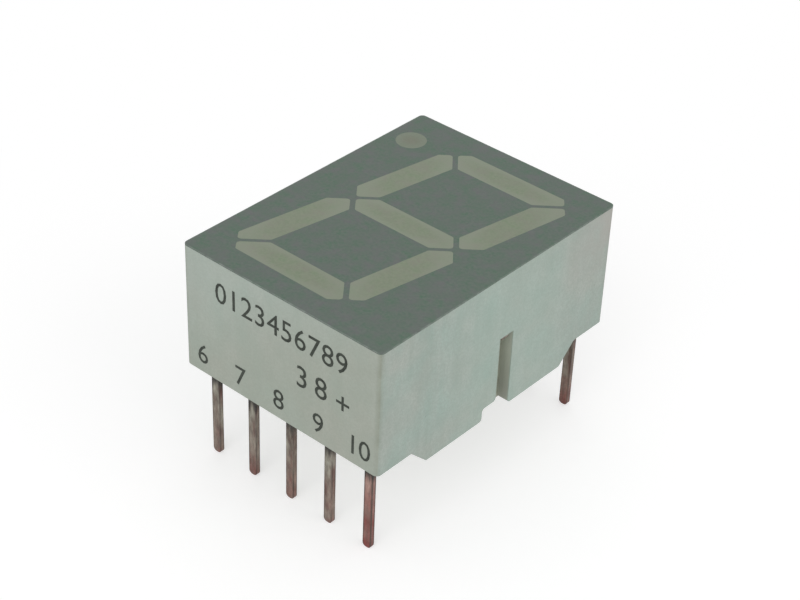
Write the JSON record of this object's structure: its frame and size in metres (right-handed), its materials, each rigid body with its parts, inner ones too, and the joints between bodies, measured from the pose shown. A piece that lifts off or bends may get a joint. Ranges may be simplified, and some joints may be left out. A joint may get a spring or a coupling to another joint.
{
  "type": "seven segment display",
  "caption": "Single-digit light-emitting seven segment display with slanted bars and a decimal point in a white moulded box, on two rows of through-hole pins.",
  "frame": {"origin": "on the seating plane, the underside of the feet, at the centre of the pin pattern", "axes": "+Z out of the display face, +X to the right of the digit, +Y to the top of the digit"},
  "size_m": [0.0126, 0.017, 0.0124],
  "materials": {
    "housing_plastic": "satin",
    "face_ink": "matte",
    "diffusing_epoxy": "satin",
    "potting_epoxy": "satin",
    "lead_metal": "satin",
    "led_chip": "satin",
    "gold_wire": "gloss",
    "silver_epoxy": "satin"
  },
  "bodies": {
    "root": {"housing": "housing_plastic", "face_coating": "face_ink", "segment_a": "diffusing_epoxy", "segment_b": "diffusing_epoxy", "segment_c": "diffusing_epoxy", "segment_d": "diffusing_epoxy", "segment_e": "diffusing_epoxy", "segment_f": "diffusing_epoxy", "segment_g": "diffusing_epoxy", "decimal_point": "diffusing_epoxy", "back_fill": "potting_epoxy", "lead_1_e": "lead_metal", "lead_2_d": "lead_metal", "lead_4_c": "lead_metal", "lead_5_dp": "lead_metal", "lead_6_b": "lead_metal", "lead_7_a": "lead_metal", "lead_9_f": "lead_metal", "lead_10_g": "lead_metal", "lead_3_8_common_anode": "lead_metal", "die_attach": "silver_epoxy", "led_chip_a": "led_chip", "led_chip_b": "led_chip", "led_chip_c": "led_chip", "led_chip_d": "led_chip", "led_chip_e": "led_chip", "led_chip_f": "led_chip", "led_chip_g": "led_chip", "led_chip_dp": "led_chip", "bond_wire_a": "gold_wire", "bond_wire_b": "gold_wire", "bond_wire_c": "gold_wire", "bond_wire_d": "gold_wire", "bond_wire_e": "gold_wire", "bond_wire_f": "gold_wire", "bond_wire_g": "gold_wire", "bond_wire_dp": "gold_wire"}
  },
  "joints": []
}
